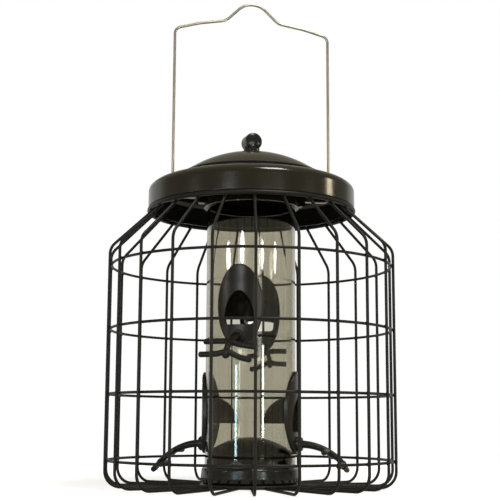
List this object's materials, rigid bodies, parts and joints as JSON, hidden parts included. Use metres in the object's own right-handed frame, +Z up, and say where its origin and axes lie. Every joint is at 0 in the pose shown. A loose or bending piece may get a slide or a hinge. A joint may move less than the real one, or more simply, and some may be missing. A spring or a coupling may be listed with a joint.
{
  "type": "squirrel proof bird feeder",
  "caption": "Clear seed tube with perches and oval feeding ports inside a round wire cage, under a domed lid that slides up a wire bail.",
  "frame": {"origin": "middle of the cage's floor, at the height of the surface that the feeder stands on", "axes": "+Z up along the tube's axis, X along the axis that the bail swings about, -Y towards the front"},
  "size_m": [0.2394, 0.239, 0.4151],
  "materials": {
    "cage_wires": "satin dark brown-black powder coat on steel wire",
    "cage_hoop_lower": "satin dark brown-black powder coat on steel wire",
    "cage_hoop_middle": "satin dark brown-black powder coat on steel wire",
    "cage_hoop_upper": "satin dark brown-black powder coat on steel wire",
    "cage_hoop_shoulder": "satin dark brown-black powder coat on steel wire",
    "cage_top_ring": "satin dark brown-black powder coat on steel wire",
    "cage_floor_plate": "satin dark powder coat on pressed steel sheet",
    "base_cup": "semi-gloss black moulded plastic",
    "seed_deflector": "satin dark moulded plastic",
    "base_screw": "zinc-plated steel",
    "base_nut": "zinc-plated steel",
    "feeder_tube": "clear polycarbonate with a faint warm grey tint",
    "tube_collar": "lightly tinted clear plastic",
    "port_upper_front": "satin dark moulded plastic",
    "port_upper_back": "satin dark moulded plastic",
    "port_lower_right": "satin dark moulded plastic",
    "port_lower_left": "satin dark moulded plastic",
    "perch_upper_front": "satin dark moulded plastic",
    "perch_upper_back": "satin dark moulded plastic",
    "perch_lower_right": "satin dark moulded plastic",
    "perch_lower_left": "satin dark moulded plastic",
    "bail_handle": "zinc-plated steel wire",
    "lid_cover": "gloss dark brown-black enamel on spun steel sheet",
    "lid_grommets": "black rubber",
    "lid_knob": "gloss black moulded plastic",
    "knob_screw": "zinc-plated steel"
  },
  "bodies": {
    "feeder": {"cage_wires": "cage_wires", "cage_hoop_lower": "cage_hoop_lower", "cage_hoop_middle": "cage_hoop_middle", "cage_hoop_upper": "cage_hoop_upper", "cage_hoop_shoulder": "cage_hoop_shoulder", "cage_top_ring": "cage_top_ring", "cage_floor_plate": "cage_floor_plate", "base_cup": "base_cup", "seed_deflector": "seed_deflector", "base_screw": "base_screw", "base_nut": "base_nut", "feeder_tube": "feeder_tube", "tube_collar": "tube_collar", "port_upper_front": "port_upper_front", "port_upper_back": "port_upper_back", "port_lower_right": "port_lower_right", "port_lower_left": "port_lower_left", "perch_upper_front": "perch_upper_front", "perch_upper_back": "perch_upper_back", "perch_lower_right": "perch_lower_right", "perch_lower_left": "perch_lower_left"},
    "bail": {"bail_handle": "bail_handle"},
    "grommets": {"lid_grommets": "lid_grommets"},
    "lid": {"lid_cover": "lid_cover", "lid_knob": "lid_knob", "knob_screw": "knob_screw"}
  },
  "joints": [
    {"name": "bail_swing", "type": "hinge", "parent": "feeder", "child": "bail", "pos_m": [0, 0, 0.2397], "axis": [1, 0, 0], "range_deg": [-4, 4]},
    {"name": "lid_lift", "type": "slide", "parent": "bail", "child": "grommets", "axis": [0, 0, 1], "range_m": [0, 0.105]},
    {"name": "lid_level", "type": "hinge", "parent": "grommets", "child": "lid", "pos_m": [0, 0, 0.2397], "axis": [1, 0, 0], "range_deg": [-4, 4]}
  ],
  "couplings": [
    {"joint": "lid_level", "follows": "bail_swing", "ratio": -1}
  ]
}
